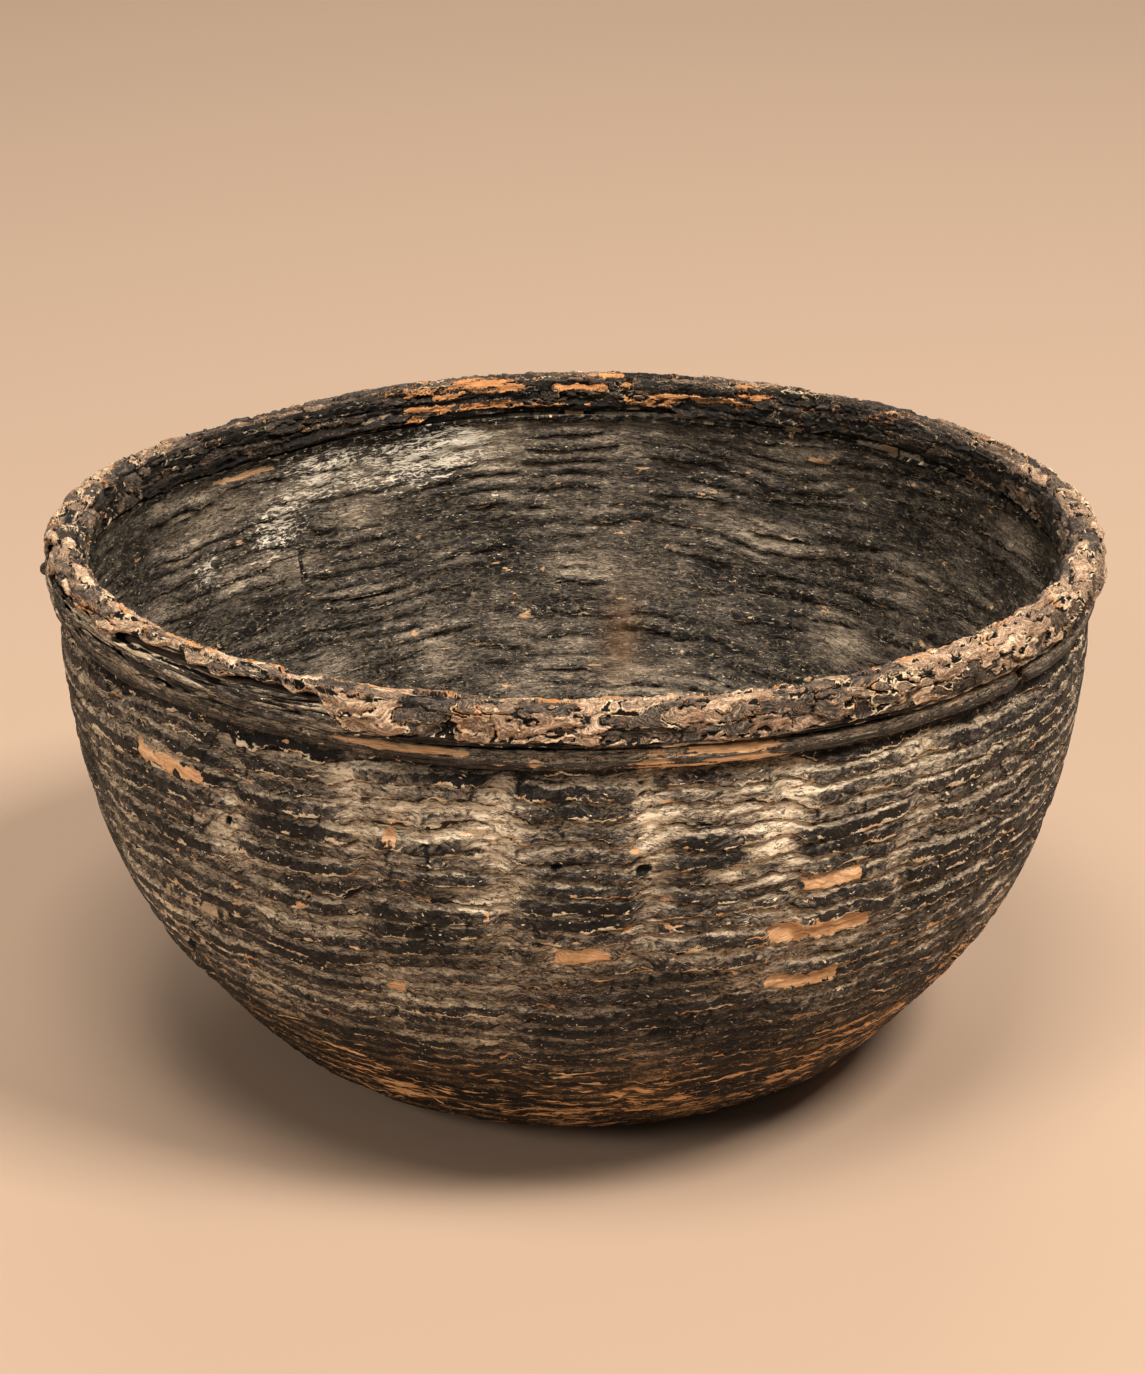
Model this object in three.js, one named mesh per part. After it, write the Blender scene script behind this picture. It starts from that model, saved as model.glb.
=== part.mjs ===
// A deep round bowl, woven of cane on upright stakes and coated with dark lacquer.
// Millimetres, +Z up. The origin is the middle of the flat underside, and -Y is the front.
// Angles round the bowl are counted from the front towards +X.

import * as THREE from "three";

// Outline of the outside, from the foot's edge up to the top of the wall: how far each stretch
// spreads outwards and how far it rises.
const FOOT_RADIUS = 46;
const SOLE_SPREAD = 29;
const SOLE_RISE = 1.3;
const HAUNCH_SPREAD = 26;
const HAUNCH_RISE = 7.5;
const LOW_FLANK_SPREAD = 26.2;
const LOW_FLANK_RISE = 27;
const FLANK_SPREAD = 19.3;
const FLANK_RISE = 30;
const HIGH_FLANK_SPREAD = 12.5;
const HIGH_FLANK_RISE = 36;
const BELLY_SPREAD = 5.5;
const BELLY_RISE = 40.4;
const NECK_DRAW_IN = 1.9;
const NECK_RISE = 22.1;

// Layers of the wall, from the outside in: woven courses, upright stakes, inner weave.
const COURSE_THICKNESS = 1.8;
const COURSE_EDGE_ROUND = 0.6;
const STAKE_THICKNESS = 1.3;
const STAKE_BASE_WIDTH = 4.6;
const STAKE_TOP_WIDTH = 7;
const INNER_WEAVE_THICKNESS = 1.8;
const HUB_RADIUS = 28;

// Rim bundle: round strands outside the stakes, a flat hoop inside them, a skin over all.
const STRAND_RADIUS = 1.8;
const STRANDS_BY_THE_STAKES = 3;
const STRANDS_OUTSIDE = 2;
const HOOP_THICKNESS = 1.2;
const HOOP_HEIGHT = 7;
const SKIN_THICKNESS = 1.3;
const SKIN_SLACK = 0.5;
const SKIN_LIP_DROP = 10;
const SKIN_EDGE_DROP = 10.8;

// The skin's arch is a superellipse, and this is its exponent: 2 would make it an ellipse.
const SKIN_SQUARENESS = 2.5;

// Stretch at the front left where the skin has broken off the outer strands, in degrees. The skin
// that is left there ends at this angle up the arch.
const WORN_FROM_ANGLE = -84;
const WORN_TO_ANGLE = -24;
const WORN_EDGE_ANGLE = 45;

// Edge cane: a thin flat strip round the outside, close under the skin. Its ends meet at one place.
const EDGE_CANE_WIDTH = 5.2;
const EDGE_CANE_THICKNESS = 2.4;
const EDGE_CANE_DROP = 0.8;
const EDGE_CANE_JOINT_ANGLE = 53;
const EDGE_CANE_GAP_ANGLE = 1.2;

// Gap that touching pieces keep.
const FIT = 0.3;

const FULL_TURN_ANGLE = 360;

// Counts. Every stake lies in the middle of a facet, so there are two facets to a stake.
const STAKE_COUNT = 24;
const COURSE_COUNT = 16;
const ROUND_STEPS = 2 * STAKE_COUNT;
const OUTLINE_STEPS = 90;
const STRAND_SIDES = 6;
const ARCH_STEP_ANGLE = 22.5;

const LACQUER = { color: 0x322b26, roughness: 0.8 };
const INNER_LACQUER = { color: 0x2d2926, roughness: 0.85 };
const CANE = { color: 0x7d5f3c, roughness: 0.7 };
const STRAND = { color: 0x4a3d31, roughness: 0.8 };
const BARK = { color: 0x6b5a48, roughness: 0.9 };
const WORN_CANE = { color: 0x9a6b3c, roughness: 0.7 };

const bowl = new THREE.Group();

function addPiece(name, geometry, { color, roughness }) {
  const material = new THREE.MeshStandardMaterial({ color, roughness, metalness: 0 });
  const piece = new THREE.Mesh(geometry, material);
  piece.name = name;
  bowl.add(piece);
  return piece;
}

function twoDigits(number) {
  return String(number).padStart(2, "0");
}

// Knots of the outline, each one stretch on from the one before it.
const knots = [new THREE.Vector2(FOOT_RADIUS, 0)];
[
  [SOLE_SPREAD, SOLE_RISE],
  [HAUNCH_SPREAD, HAUNCH_RISE],
  [LOW_FLANK_SPREAD, LOW_FLANK_RISE],
  [FLANK_SPREAD, FLANK_RISE],
  [HIGH_FLANK_SPREAD, HIGH_FLANK_RISE],
  [BELLY_SPREAD, BELLY_RISE],
  [-NECK_DRAW_IN, NECK_RISE],
].forEach(([spread, rise]) => {
  knots.push(knots.at(-1).clone().add(new THREE.Vector2(spread, rise)));
});
const wallTop = knots.at(-1).y;

// The outline starts on the axis, so the foot is its first, flat stretch.
const outline = new THREE.CurvePath();
outline.add(new THREE.LineCurve(new THREE.Vector2(0, 0), knots[0]));
outline.add(new THREE.SplineCurve(knots));
const outlineLength = outline.getLength();
const stationStep = outlineLength / OUTLINE_STEPS;

// Points along the outline at even steps, each with the direction into the wall.
const stations = Array.from({ length: OUTLINE_STEPS + 1 }, (_, i) => {
  const share = i / OUTLINE_STEPS;
  const tangent = outline.getTangentAt(share);
  return { point: outline.getPointAt(share), inward: new THREE.Vector2(-tangent.y, tangent.x) };
});

// A point of the wall: its distance along the outline and its depth below the outside.
function wallPoint(along, depth) {
  const place = THREE.MathUtils.clamp(along / stationStep, 0, OUTLINE_STEPS);
  const low = Math.min(Math.floor(place), OUTLINE_STEPS - 1);
  const from = stations[low];
  const to = stations[low + 1];
  const point = from.point.clone().lerp(to.point, place - low);
  const inward = from.inward.clone().lerp(to.inward, place - low).normalize();
  return point.addScaledVector(inward, depth);
}

// Distances along the outline where one course ends and the next begins. All layers bend there.
const coursePitch = (outlineLength - FOOT_RADIUS) / COURSE_COUNT;
const levels = Array.from({ length: COURSE_COUNT + 1 }, (_, i) => FOOT_RADIUS + i * coursePitch);

// Depths of the layers' faces below the outside.
const stakeDepth = COURSE_THICKNESS + FIT;
const innerDepth = stakeDepth + STAKE_THICKNESS + FIT;
const wallThickness = innerDepth + INNER_WEAVE_THICKNESS;

// Facets: the whole bowl is a prism of flat facets, whose corners lie half a facet off the stakes.
const halfFacet = Math.PI / ROUND_STEPS;
const facetShare = Math.cos(halfFacet);

// Turns a section of radii and heights about +Z. The section is closed, or ends on the axis.
function turned(section) {
  const geometry = new THREE.LatheGeometry(section, ROUND_STEPS, halfFacet);
  return geometry.rotateX(Math.PI / 2);
}

function ring(section) {
  return turned([...section, section[0]]);
}

// Joins sections of equal length, each a closed loop of points, into one solid with flat ends.
function loft(sections, endFaces) {
  const count = sections[0].length;
  const positions = sections.flat().flatMap((point) => [point.x, point.y, point.z]);
  const index = [];
  for (let i = 0; i < sections.length - 1; i += 1) {
    for (let side = 0; side < count; side += 1) {
      const a = count * i + side;
      const b = count * i + ((side + 1) % count);
      index.push(a, a + count, b + count, a, b + count, b);
    }
  }
  const last = count * (sections.length - 1);
  endFaces.forEach(([a, b, c]) => {
    index.push(a, b, c, last + a, last + c, last + b);
  });
  const geometry = new THREE.BufferGeometry();
  geometry.setAttribute("position", new THREE.Float32BufferAttribute(positions, 3));
  geometry.setIndex(index);
  geometry.computeVertexNormals();
  return geometry;
}

// Turns a section between two angles only. Its facets are those of the whole rings.
function turnedBetween(section, fromDegrees, toDegrees) {
  const from = THREE.MathUtils.degToRad(fromDegrees);
  const to = THREE.MathUtils.degToRad(toDegrees);
  const firstCorner = Math.floor((from - halfFacet) / (2 * halfFacet)) + 1;
  const angles = [from];
  for (let i = firstCorner; halfFacet * (2 * i + 1) < to; i += 1) {
    angles.push(halfFacet * (2 * i + 1));
  }
  angles.push(to);
  const loops = angles.map((angle) => {
    const middle = Math.round(angle / (2 * halfFacet)) * 2 * halfFacet;
    const share = facetShare / Math.cos(angle - middle);
    return section.map((point) => {
      const radius = point.x * share;
      return new THREE.Vector3(radius * Math.sin(angle), -radius * Math.cos(angle), point.y);
    });
  });
  return loft(loops, THREE.ShapeUtils.triangulateShape(section, []));
}

// Foot disc: the flat start of the outer weave, which the bowl stands on. Hub: where stakes cross.
function buildBase() {
  const disc = (radius, low, thickness) =>
    turned([
      new THREE.Vector2(0, low),
      new THREE.Vector2(radius, low),
      new THREE.Vector2(radius, low + thickness),
      new THREE.Vector2(0, low + thickness),
    ]);
  addPiece("foot_disc", disc(FOOT_RADIUS - FIT, 0, COURSE_THICKNESS), LACQUER);
  addPiece("base_hub", disc(HUB_RADIUS, stakeDepth, STAKE_THICKNESS), CANE);
}

// Courses: rings of packed strands, one above the other, over the outside of the stakes.
function buildCourses() {
  for (let i = 0; i < COURSE_COUNT; i += 1) {
    const low = levels[i];
    const high = levels[i + 1] - FIT;
    const section = [
      wallPoint(low, COURSE_EDGE_ROUND),
      wallPoint((low + high) / 2, 0),
      wallPoint(high, COURSE_EDGE_ROUND),
      wallPoint(high, COURSE_THICKNESS),
      wallPoint(low, COURSE_THICKNESS),
    ];
    addPiece(`course_${twoDigits(i + 1)}`, ring(section), LACQUER);
  }
}

// Stakes: flat ribs from the hub up into the rim. They widen upwards.
function buildStakes() {
  const bends = [HUB_RADIUS + FIT, ...levels];
  const outside = bends.map((along) => wallPoint(along, stakeDepth));
  const inside = bends.map((along) => wallPoint(along, stakeDepth + STAKE_THICKNESS));
  const top = wallTop + HOOP_HEIGHT;
  outside.push(outside.at(-1).clone().setY(top));
  inside.push(inside.at(-1).clone().setY(top));
  const bars = outside.map((out, i) => {
    const share = i / (outside.length - 1);
    const half = THREE.MathUtils.lerp(STAKE_BASE_WIDTH, STAKE_TOP_WIDTH, share) / 2;
    const corner = (point, side) => new THREE.Vector3(side * half, -point.x * facetShare, point.y);
    return [corner(out, -1), corner(inside[i], -1), corner(inside[i], 1), corner(out, 1)];
  });
  const ends = [
    [0, 1, 2],
    [0, 2, 3],
  ];
  for (let i = 0; i < STAKE_COUNT; i += 1) {
    const stake = addPiece(`stake_${twoDigits(i + 1)}`, loft(bars, ends), CANE);
    stake.rotation.z = (i * 2 * Math.PI) / STAKE_COUNT;
  }
}

// Inner wall: the inner faces of the weave, one shell from the middle of the base to the neck.
function buildInnerWall() {
  const bends = [0, ...levels];
  const back = bends.map((along) => wallPoint(along, innerDepth));
  const face = bends.map((along) => wallPoint(along, wallThickness)).reverse();
  addPiece("inner_wall", turned([...back, ...face]), INNER_LACQUER);
}

// Radii and heights that the pieces of the rim share.
const neck = {
  stakeOutside: wallPoint(outlineLength, stakeDepth).x,
  stakeInside: wallPoint(outlineLength, stakeDepth + STAKE_THICKNESS).x,
  top: wallTop + FIT,
};
const strandStep = 2 * STRAND_RADIUS + FIT;
const lowestStrand = neck.top + STRAND_RADIUS;
const skinRoom = STRAND_RADIUS + SKIN_SLACK + SKIN_THICKNESS;
const hoopOutside = neck.stakeInside - FIT;
const innerStrands = neck.stakeOutside + FIT + STRAND_RADIUS;
const rim = {
  crestRadius: innerStrands,
  crest: lowestStrand + (STRANDS_BY_THE_STAKES - 1) * strandStep + skinRoom,
  shoulder: lowestStrand + (STRANDS_OUTSIDE - 1) * strandStep,
  outer: innerStrands + strandStep + skinRoom,
  inner: hoopOutside - HOOP_THICKNESS - FIT - SKIN_THICKNESS,
};

// Strands: round canes laid round the rim, one above the other in two columns.
function buildStrands() {
  const columns = [
    { radius: innerStrands, count: STRANDS_BY_THE_STAKES },
    { radius: innerStrands + strandStep, count: STRANDS_OUTSIDE },
  ];
  let number = 0;
  columns.forEach(({ radius, count }) => {
    for (let i = 0; i < count; i += 1) {
      const height = lowestStrand + i * strandStep;
      const section = Array.from({ length: STRAND_SIDES }, (_, side) => {
        const angle = (side * 2 * Math.PI) / STRAND_SIDES;
        const spoke = new THREE.Vector2(Math.cos(angle), Math.sin(angle));
        return new THREE.Vector2(radius, height).addScaledVector(spoke, STRAND_RADIUS);
      });
      number += 1;
      addPiece(`rim_strand_${number}`, ring(section), STRAND);
    }
  });
}

// Hoop: a flat hoop inside the ends of the stakes, standing on the inner wall.
function buildHoop() {
  const section = [
    new THREE.Vector2(hoopOutside - HOOP_THICKNESS, neck.top),
    new THREE.Vector2(hoopOutside, neck.top),
    new THREE.Vector2(hoopOutside, neck.top + HOOP_HEIGHT),
    new THREE.Vector2(hoopOutside - HOOP_THICKNESS, neck.top + HOOP_HEIGHT),
  ];
  addPiece("rim_inner_hoop", ring(section), STRAND);
}

// The arch of the skin, a given depth inside it, from an angle on its outer side to the inside.
function arch(depth, fromDegrees) {
  const height = rim.crest - rim.shoulder - depth;
  const reach = (share, size) => Math.sign(share) * Math.abs(share) ** (2 / SKIN_SQUARENESS) * size;
  const points = [];
  for (let degrees = fromDegrees; degrees <= 180; degrees += ARCH_STEP_ANGLE) {
    const angle = THREE.MathUtils.degToRad(degrees);
    const side = degrees < 90 ? rim.outer - rim.crestRadius : rim.crestRadius - rim.inner;
    const across = reach(Math.cos(angle), side - depth);
    const up = reach(Math.sin(angle), height);
    points.push(new THREE.Vector2(rim.crestRadius + across, rim.shoulder + up));
  }
  return points;
}

// Skin: a bark-like cover folded over the rim. It leaves the lowest outer strand bare all round,
// and in the worn stretch its whole outer side is gone.
function buildSkin() {
  const edge = (depth) => new THREE.Vector2(rim.outer - depth, rim.crest - SKIN_EDGE_DROP);
  const lip = (depth) => new THREE.Vector2(rim.inner + depth, rim.crest - SKIN_LIP_DROP);
  const face = (depth) => [edge(depth), ...arch(depth, 0), lip(depth)];
  const wornFace = (depth) => [...arch(depth, WORN_EDGE_ANGLE), lip(depth)];
  const whole = [...face(0), ...face(SKIN_THICKNESS).reverse()];
  const worn = [...wornFace(0), ...wornFace(SKIN_THICKNESS).reverse()];
  const joint = THREE.MathUtils.radToDeg(FIT / rim.inner);
  const wholeTo = WORN_FROM_ANGLE + FULL_TURN_ANGLE;
  addPiece("rim_skin", turnedBetween(whole, WORN_TO_ANGLE + joint, wholeTo), BARK);
  addPiece("rim_skin_worn", turnedBetween(worn, WORN_FROM_ANGLE + joint, WORN_TO_ANGLE), BARK);
}

// Edge cane: a strip with bevelled edges that lies round the widest part of the wall behind it.
function buildEdgeCane() {
  const top = wallTop - EDGE_CANE_DROP;
  const low = top - EDGE_CANE_WIDTH;
  const behind = stations.filter(({ point }) => point.y > low - stationStep);
  const back = Math.max(...behind.map(({ point }) => point.x)) + FIT;
  const front = back + EDGE_CANE_THICKNESS;
  const bevel = EDGE_CANE_THICKNESS / 2;
  const section = [
    new THREE.Vector2(back, low),
    new THREE.Vector2(front, low + bevel),
    new THREE.Vector2(front, top - bevel),
    new THREE.Vector2(back, top),
  ];
  const end = EDGE_CANE_JOINT_ANGLE + FULL_TURN_ANGLE - EDGE_CANE_GAP_ANGLE;
  addPiece("rim_edge_cane", turnedBetween(section, EDGE_CANE_JOINT_ANGLE, end), WORN_CANE);
}

buildBase();
buildCourses();
buildStakes();
buildInnerWall();
buildStrands();
buildHoop();
buildSkin();
buildEdgeCane();

export default bowl;
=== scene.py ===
"""Deep bowl of plain-woven cane under cracked dark lacquer, built as surfaces around a fixed frame.

Lengths are millimetres until a mesh is made. +Z is up and -Y is the front. A point of the wall is given
by its angle round the bowl, from the front towards +X, and by its distance along the bowl's outline,
from the middle of the foot. Every surface is worked out as whole arrays over such a grid.
"""

import bpy
import numpy as np
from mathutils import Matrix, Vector


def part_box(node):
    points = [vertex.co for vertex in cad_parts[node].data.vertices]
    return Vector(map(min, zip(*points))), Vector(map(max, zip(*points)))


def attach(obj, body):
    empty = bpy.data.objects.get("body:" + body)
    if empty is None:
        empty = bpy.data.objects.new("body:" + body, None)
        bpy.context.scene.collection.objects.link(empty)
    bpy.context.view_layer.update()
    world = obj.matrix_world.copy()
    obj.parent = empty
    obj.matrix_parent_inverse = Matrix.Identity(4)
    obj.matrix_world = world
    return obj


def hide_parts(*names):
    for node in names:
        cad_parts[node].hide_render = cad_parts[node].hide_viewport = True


bl_info = {
    "name": "Woven bowl",
    "version": (1, 1, 0),
    "blender": (4, 5, 0),
    "location": "View3D > Sidebar > Bowl",
    "description": "Builds a deep lacquered cane bowl with a worn weave and a cracked rim",
    "category": "Add Mesh",
}

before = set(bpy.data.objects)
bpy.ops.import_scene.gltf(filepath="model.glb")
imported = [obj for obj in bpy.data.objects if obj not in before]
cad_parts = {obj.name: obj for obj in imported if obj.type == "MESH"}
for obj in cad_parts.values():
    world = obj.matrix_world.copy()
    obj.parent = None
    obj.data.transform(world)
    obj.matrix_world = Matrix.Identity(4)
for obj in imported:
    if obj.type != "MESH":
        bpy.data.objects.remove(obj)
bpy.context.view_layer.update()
MM = 0.001
TURN = 2 * np.pi

STAKES = sum(name.startswith("stake_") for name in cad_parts)
COURSES = sorted(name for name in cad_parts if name.startswith("course_"))
STRANDS = sorted(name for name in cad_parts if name.startswith("rim_strand_"))

# How far a band of rows reaches under the next one.
BAND_LAP = 0.5

# Places where the coat has come off down to the cane: the middle's angle in degrees and its distance
# below the crest along the outline, then the width and the height.
BARE_OUTSIDE = (
    (0.8, 82, 16, 5), (27, 80, 34, 6.5), (26, 99.5, 23, 4), (27.5, 63, 20, 3), (-18.5, 44, 3.5, 4.5),
    (-46.5, 39, 31, 2.6), (4, 72, 9, 1.6), (-20, 100, 5, 1.6),
)
CREAM_OUTSIDE = ((-47, 89, 28, 5), (-45, 108, 30, 3.5))
DUSTY_OUTSIDE = (
    (-22, 31, 20, 16), (20, 46, 26, 34), (18, 54, 22, 11), (16, 52, 26, 9), (-8, 40, 14, 50),
    (8, 36, 14, 46), (-38, 56, 16, 22), (37, 40, 14, 36),
)
RESIDUE_INSIDE = (
    (-22, 28, 46, 26), (-14, 22, 26, 18), (-36, 26, 40, 24), (-43, 44, 26, 24), (-55, 52, 18, 14),
)
STAIN_INSIDE = ((7, 102, 14, 34),)
BARE_INSIDE = ((-48, 18, 30, 2.2), (-12, 20, 9, 1.5), (34, 24, 10, 1.5))
CRACK_INSIDE = (-39, 63)

# Colours of the finishes as sRGB values: what each colours, and for a ramp its stops from low to high.
RAMPS = {
    "outer_coat": ("Lacquer outside, from hollow to dust", (
        (0.05, "#0b0a09"), (0.2, "#1c1a18"), (0.36, "#3e3934"), (0.5, "#6f655a"), (0.7, "#ac9c87"),
        (0.95, "#f2e1c6"))),
    "inner_coat": ("Lacquer inside, from hollow to dust", (
        (0.05, "#131211"), (0.2, "#292624"), (0.38, "#4b4640"), (0.52, "#786d62"), (0.7, "#ab9c88"),
        (0.95, "#e0d0b8"))),
    "chips": ("Cane where the coat has chipped", ((0.5, "#efdfc2"), (0.58, "#e2bf95"), (0.68, "#cf9c69"))),
    "streaks": ("Cane in the low streaks", ((0.3, "#b07e50"), (0.5, "#e2ac74"), (0.7, "#fbd5a6"))),
    "cream": ("Cane in the cream patches", ((0.3, "#a08c72"), (0.5, "#d6c0a0"), (0.72, "#f5e4c8"))),
    "bare": ("Cane in the bare patches", ((0.3, "#b3865c"), (0.5, "#e4b486"), (0.7, "#fbd6ad"))),
    "bark": ("Plates of the rim's skin", (
        (0.1, "#1f1c19"), (0.28, "#443d37"), (0.42, "#6b5b4d"), (0.58, "#957b65"), (0.76, "#c0a286"),
        (1.0, "#efd8bb"))),
    "bark_edge": ("Broken edges of the plates", ((0.47, "#e6cfae"), (0.56, "#d3a87c"), (0.66, "#bd8052"))),
    "bark_worn": ("Cane worn bare on the rim", ((0.3, "#94623a"), (0.5, "#c98a55"), (0.7, "#ecb983"))),
    "split_cane": ("Stakes and hub", ((0.3, "#5c462f"), (0.5, "#8d6b48"), (0.7, "#ba9363"))),
    "foot_cane": ("Foot and hidden rim canes", ((0.3, "#2a231d"), (0.5, "#453a2f"), (0.7, "#7c644a"))),
}
PLAIN_COLOURS = {
    # The gap colour also paints the hollow under each row black, as its shadow.
    "gap": ("Gaps between the flakes", "#0b0a09"),
    "low_tint": ("Tint low on the wall", "#cdb69a"),
    "speck": ("Dusty specks inside", "#a8967c"),
    "stain": ("Stain inside", "#866346"),
    "stroke": ("Strokes inside", "#9a8a72"),
    "residue": ("Pale residue inside", "#fbf0dc"),
    "plate_gap": ("Gaps between the rim's plates", "#1a1613"),
    # The grime colour also stands for the shadow in the rim's lost plates and pits.
    "grime": ("Grime in the rim's pits", "#15110f"),
    "floor": ("Floor", "#ad9683"),
    "lamp": ("Lamps", "#fff4e6"),
    "surround": ("Light from all round", "#f0e6da"),
}


def corners(name):
    """Radii and heights of the corners of a ring's section, each once."""
    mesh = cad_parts[name].data
    flat = np.empty(3 * len(mesh.vertices))
    mesh.vertices.foreach_get("co", flat)
    x, y, z = flat.reshape(-1, 3).T / MM
    pairs = np.unique(np.round(np.stack([np.hypot(x, y), z], 1), 2), axis=0)
    near = [np.hypot(*(pairs[:i] - pairs[i]).T).min(initial=9) for i in range(len(pairs))]
    return pairs[np.array(near) > 0.1]


def course_bulge(name):
    """The corner of a course's section that stands out furthest: the middle one along the section."""
    pairs = corners(name)
    centred = pairs - pairs.mean(0)
    return pairs[np.argsort(centred @ np.linalg.svd(centred)[2][0])[2]]


def read_outline():
    """The outside as points half a millimetre apart: a Catmull-Rom curve through the courses' bulges."""
    foot = [corners("foot_disc")[:, 0].max(), 0]
    neck = max(corners(COURSES[-1]), key=lambda pair: 3 * pair[1] + pair[0])
    knots = np.array([foot, *(course_bulge(name) for name in COURSES), neck], float)
    padded = np.vstack([[foot[0] - 10, 0], knots, 2 * knots[-1] - knots[-2]])
    t = np.linspace(0, len(knots) - 1 - 1e-9, 3000)
    i = t.astype(int)
    f = (t - i)[:, None]
    a, b, c, d = padded[i], padded[i + 1], padded[i + 2], padded[i + 3]
    straight, square, cube = c - a, 2 * a - 5 * b + 4 * c - d, 3 * b - a - 3 * c + d
    curve = 0.5 * (2 * b + straight * f + square * f**2 + cube * f**3)
    curve = np.vstack([[0, 0], curve])
    curve[:, 1] = np.maximum(curve[:, 1], 0)
    along = np.concatenate([[0], np.cumsum(np.hypot(*np.diff(curve, axis=0).T))])
    even = np.linspace(0, along[-1], int(2 * along[-1]))
    points = np.stack([np.interp(even, along, curve[:, k]) for k in (0, 1)], 1)
    tangent = np.gradient(points, axis=0)
    tangent /= np.hypot(*tangent.T)[:, None]
    return even, points, np.stack([-tangent[:, 1], tangent[:, 0]], 1)


# Measures read from the frame: the outline and the foot's radius, the skin's crest and radii, and the
# depths of the inner wall's two faces below the outline. The outer bands end just outside that wall and
# the inner ones just inside its back. The patterns lie on a drum about as wide as the mouth.
ALONG, OUTLINE, INWARD = read_outline()
LENGTH = ALONG[-1]
FOOT = corners("foot_disc")[:, 0].max()
SKIN = corners("rim_skin")
CREST = SKIN[:, 1].max()
RIM_OUTER, RIM_INNER = SKIN[:, 0].max(), SKIN[:, 0].min()
RIM_DROP = CREST - OUTLINE[-1, 1]
WALL_BACK, WALL_FACE = corners("inner_wall")[:, 1].min(), corners("inner_wall")[1, 1]
OUTER_BAND_BACK, INNER_BAND_BACK = WALL_BACK - 1.8, WALL_BACK + 0.3
DRUM = 164.0


def millimetres(key):
    """One of the panel's sizes in millimetres, without the last digits that single precision adds."""
    return round(getattr(bpy.context.scene.bowl_sizes, key) / MM, 4)


def on_wall(along, depth):
    """Radius and height of points at a distance along the outline and a depth below it."""
    radius = np.interp(along, ALONG, OUTLINE[:, 0]) + depth * np.interp(along, ALONG, INWARD[:, 0])
    height = np.interp(along, ALONG, OUTLINE[:, 1]) + depth * np.interp(along, ALONG, INWARD[:, 1])
    return radius, height


def signed_degrees(angle):
    """The angle in degrees, from -180 to 180."""
    return (np.degrees(angle) + 180) % 360 - 180


def smoothstep(low, high, x):
    """0 below low, 1 above high, and a cubic with level ends between them."""
    t = np.clip((x - low) / (high - low), 0, 1)
    return t * t * (3 - 2 * t)


def plateau(x, foot, top, edge, end):
    """1 between the top and the edge, with smooth steps down to 0 at the foot and the end."""
    return smoothstep(foot, top, x) * (1 - smoothstep(edge, end, x))


def lattice_noise(x, y, period, seed):
    """Smooth noise from -1 to 1: random lattice values blended by a smoothstep, periodic in x."""
    table = np.random.default_rng(seed).uniform(-1, 1, (512, period))
    xi, yi = np.floor(x).astype(int), np.floor(y).astype(int)
    fx, fy = x - xi, y - yi
    fx, fy = fx * fx * (3 - 2 * fx), fy * fy * (3 - 2 * fy)
    x0, x1, y0, y1 = xi % period, (xi + 1) % period, yi % 512, (yi + 1) % 512
    low = table[y0, x0] * (1 - fx) + table[y0, x1] * fx
    high = table[y1, x0] * (1 - fx) + table[y1, x1] * fx
    return low * (1 - fy) + high * fy


def fractal(x, y, period, seed, octaves):
    """Sum of lattice noises, each with half the size and half the strength of the one before it."""
    return sum(
        0.5**k * lattice_noise(x * 2**k, y * 2**k, period * 2**k, seed + 100 * k) for k in range(octaves))


def noise(stake, rate, other, seed, octaves=1):
    """Noise round the bowl with so many features from one stake to the next, and along another way."""
    return fractal(stake * rate, other, int(STAKES * rate), seed, octaves)


def cells(x, y, period, seed):
    """Cells round jittered lattice points, periodic in x.

    Gives the distance to the cell's edge, the offset from its point and two random numbers of the cell.
    """
    table = np.random.default_rng(seed).uniform(0, 1, (4, 512, period))
    xi, yi = np.floor(x).astype(int), np.floor(y).astype(int)
    first = np.full(x.shape, 9.0)
    second = np.full(x.shape, 9.0)
    offset_x, offset_y, tone, kind = (np.zeros(x.shape) for _ in range(4))
    for step_x in (-1, 0, 1):
        for step_y in (-1, 0, 1):
            column, row = (xi + step_x) % period, (yi + step_y) % 512
            dx = x - (xi + step_x + 0.15 + 0.7 * table[0, row, column])
            dy = y - (yi + step_y + 0.15 + 0.7 * table[1, row, column])
            distance = np.hypot(dx, dy)
            nearest = distance < first
            second = np.where(nearest, first, np.minimum(second, distance))
            first = np.where(nearest, distance, first)
            offset_x, offset_y = np.where(nearest, dx, offset_x), np.where(nearest, dy, offset_y)
            tone = np.where(nearest, table[2, row, column], tone)
            kind = np.where(nearest, table[3, row, column], kind)
    return second - first, offset_x, offset_y, tone, kind


def from_place(degrees, below, radius, place):
    """Distances round and down from the middle of a listed place."""
    around = np.radians((degrees - place[0] + 180) % 360 - 180) * radius
    return around, below - place[1]


def bare_field(degrees, below, radius, places):
    """How far inside the nearest listed oblong a point lies, negative outside all of them."""
    field = np.full(degrees.shape, -9.0)
    for place in places:
        around, down = from_place(degrees, below, radius, place)
        field = np.maximum(field, np.minimum(place[2] / 2 - np.abs(around), place[3] / 2 - np.abs(down)))
    return field


def soft_spots(degrees, below, radius, places):
    """Sum of bell shapes, each as wide and high as its listed place."""
    total = np.zeros(degrees.shape)
    for place in places:
        around, down = from_place(degrees, below, radius, place)
        total += np.exp(-((2 * around / place[2]) ** 2) - (2 * down / place[3]) ** 2)
    return total


def settled(points):
    """Lets the rim sag at the back left: a bell round its angle, which fades out down the wall."""
    x, y, z = points[..., 0], points[..., 1], points[..., 2]
    degrees = signed_degrees(np.arctan2(x, -y))
    sag = millimetres("sag") * np.exp(-(((degrees + 136) / 24) ** 2)) * smoothstep(60, 165, z)
    return np.stack([x, y, z - sag], -1)


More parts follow.
